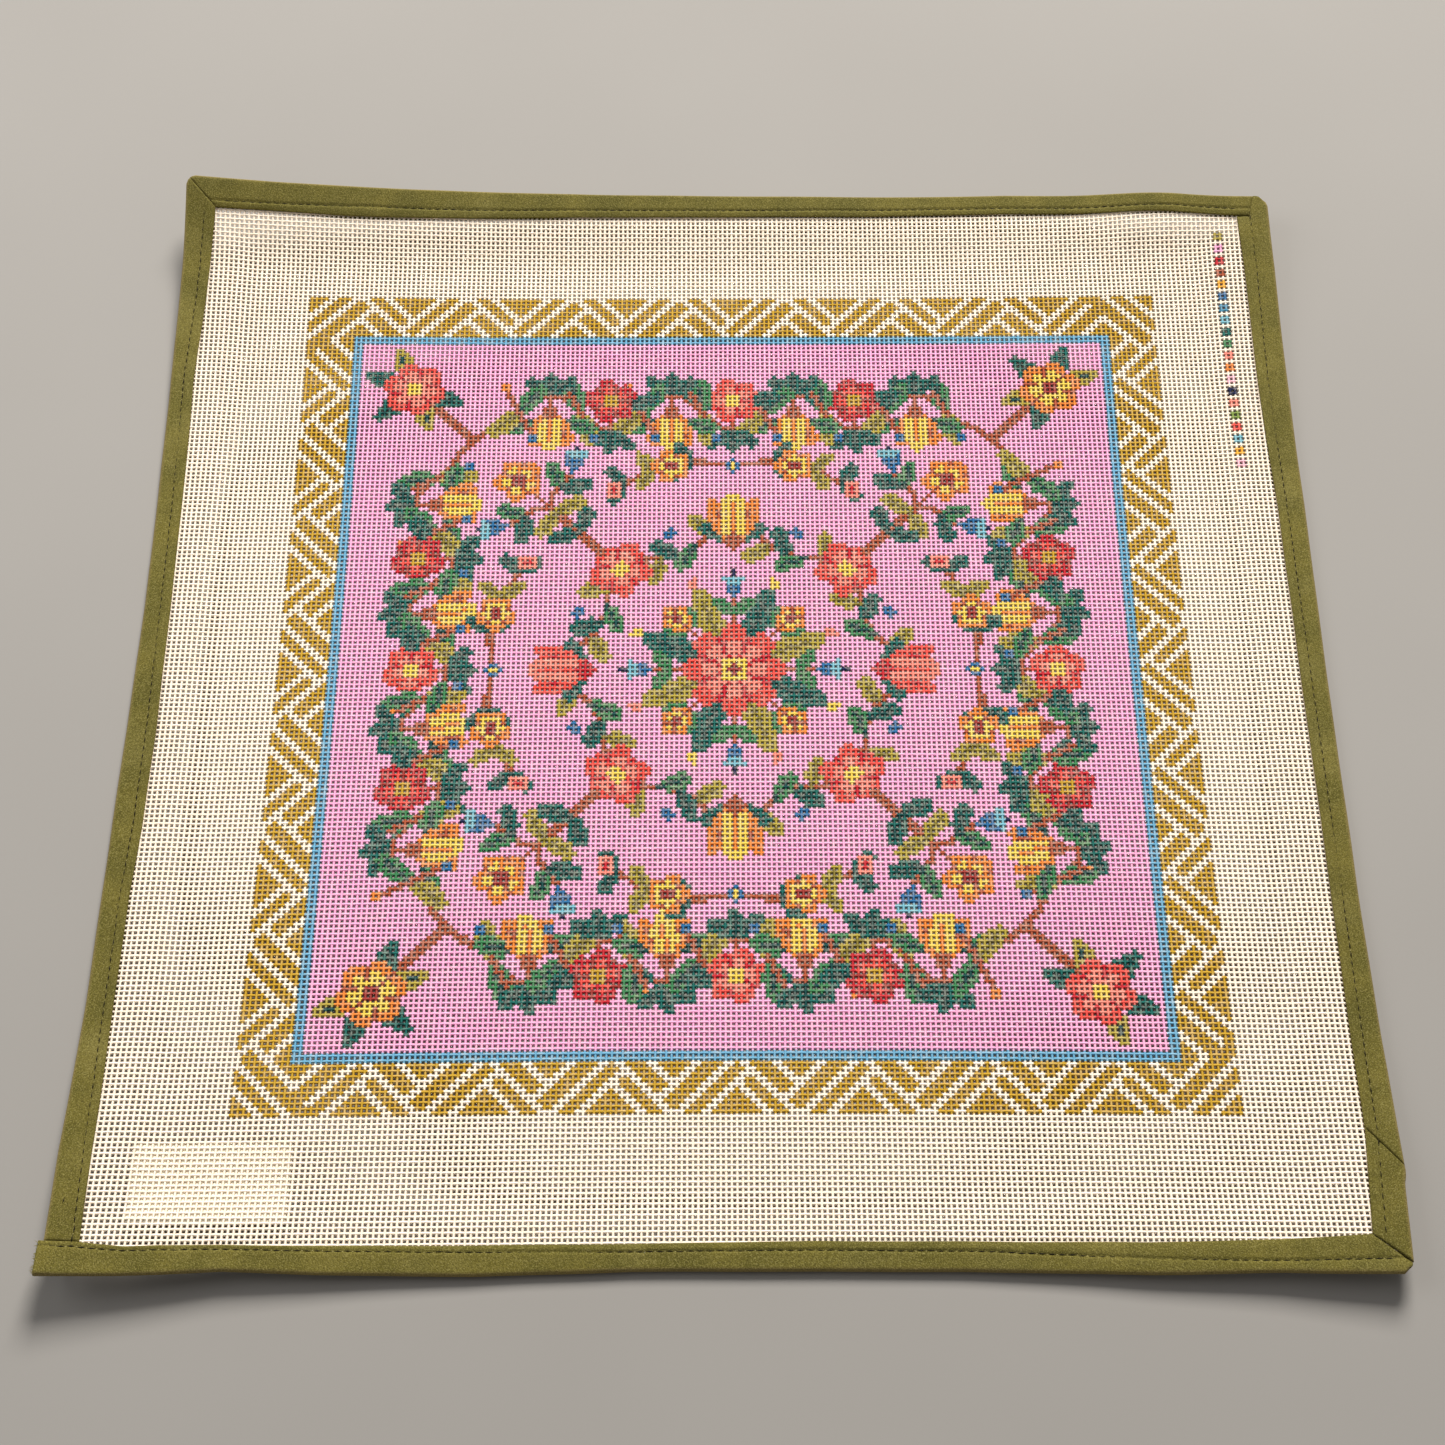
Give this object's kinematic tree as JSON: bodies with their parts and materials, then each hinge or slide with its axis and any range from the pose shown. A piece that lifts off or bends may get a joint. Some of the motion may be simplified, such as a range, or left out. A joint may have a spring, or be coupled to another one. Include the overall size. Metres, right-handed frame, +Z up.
{
  "type": "needlepoint canvas panel",
  "caption": "Square of painted open-mesh needlework canvas, its edge bound with folded twill tape, lying flat in the middle with its corners curled up.",
  "frame": {"origin": "under the middle of the panel, on the surface it lies on", "axes": "+X to the panel's right, +Y to its top edge, +Z up out of its painted face"},
  "size_m": [0.4698, 0.4666, 0.0215],
  "materials": {
    "canvas": "cream cotton mono canvas, painted in matt colours on its face",
    "tape": "olive cotton twill, matt, machine stitched",
    "paper": "plain cream paper slip, matt"
  },
  "bodies": {
    "root": {"canvas": "canvas", "binding_long": "tape", "binding_short": "tape", "label": "paper"}
  },
  "joints": []
}
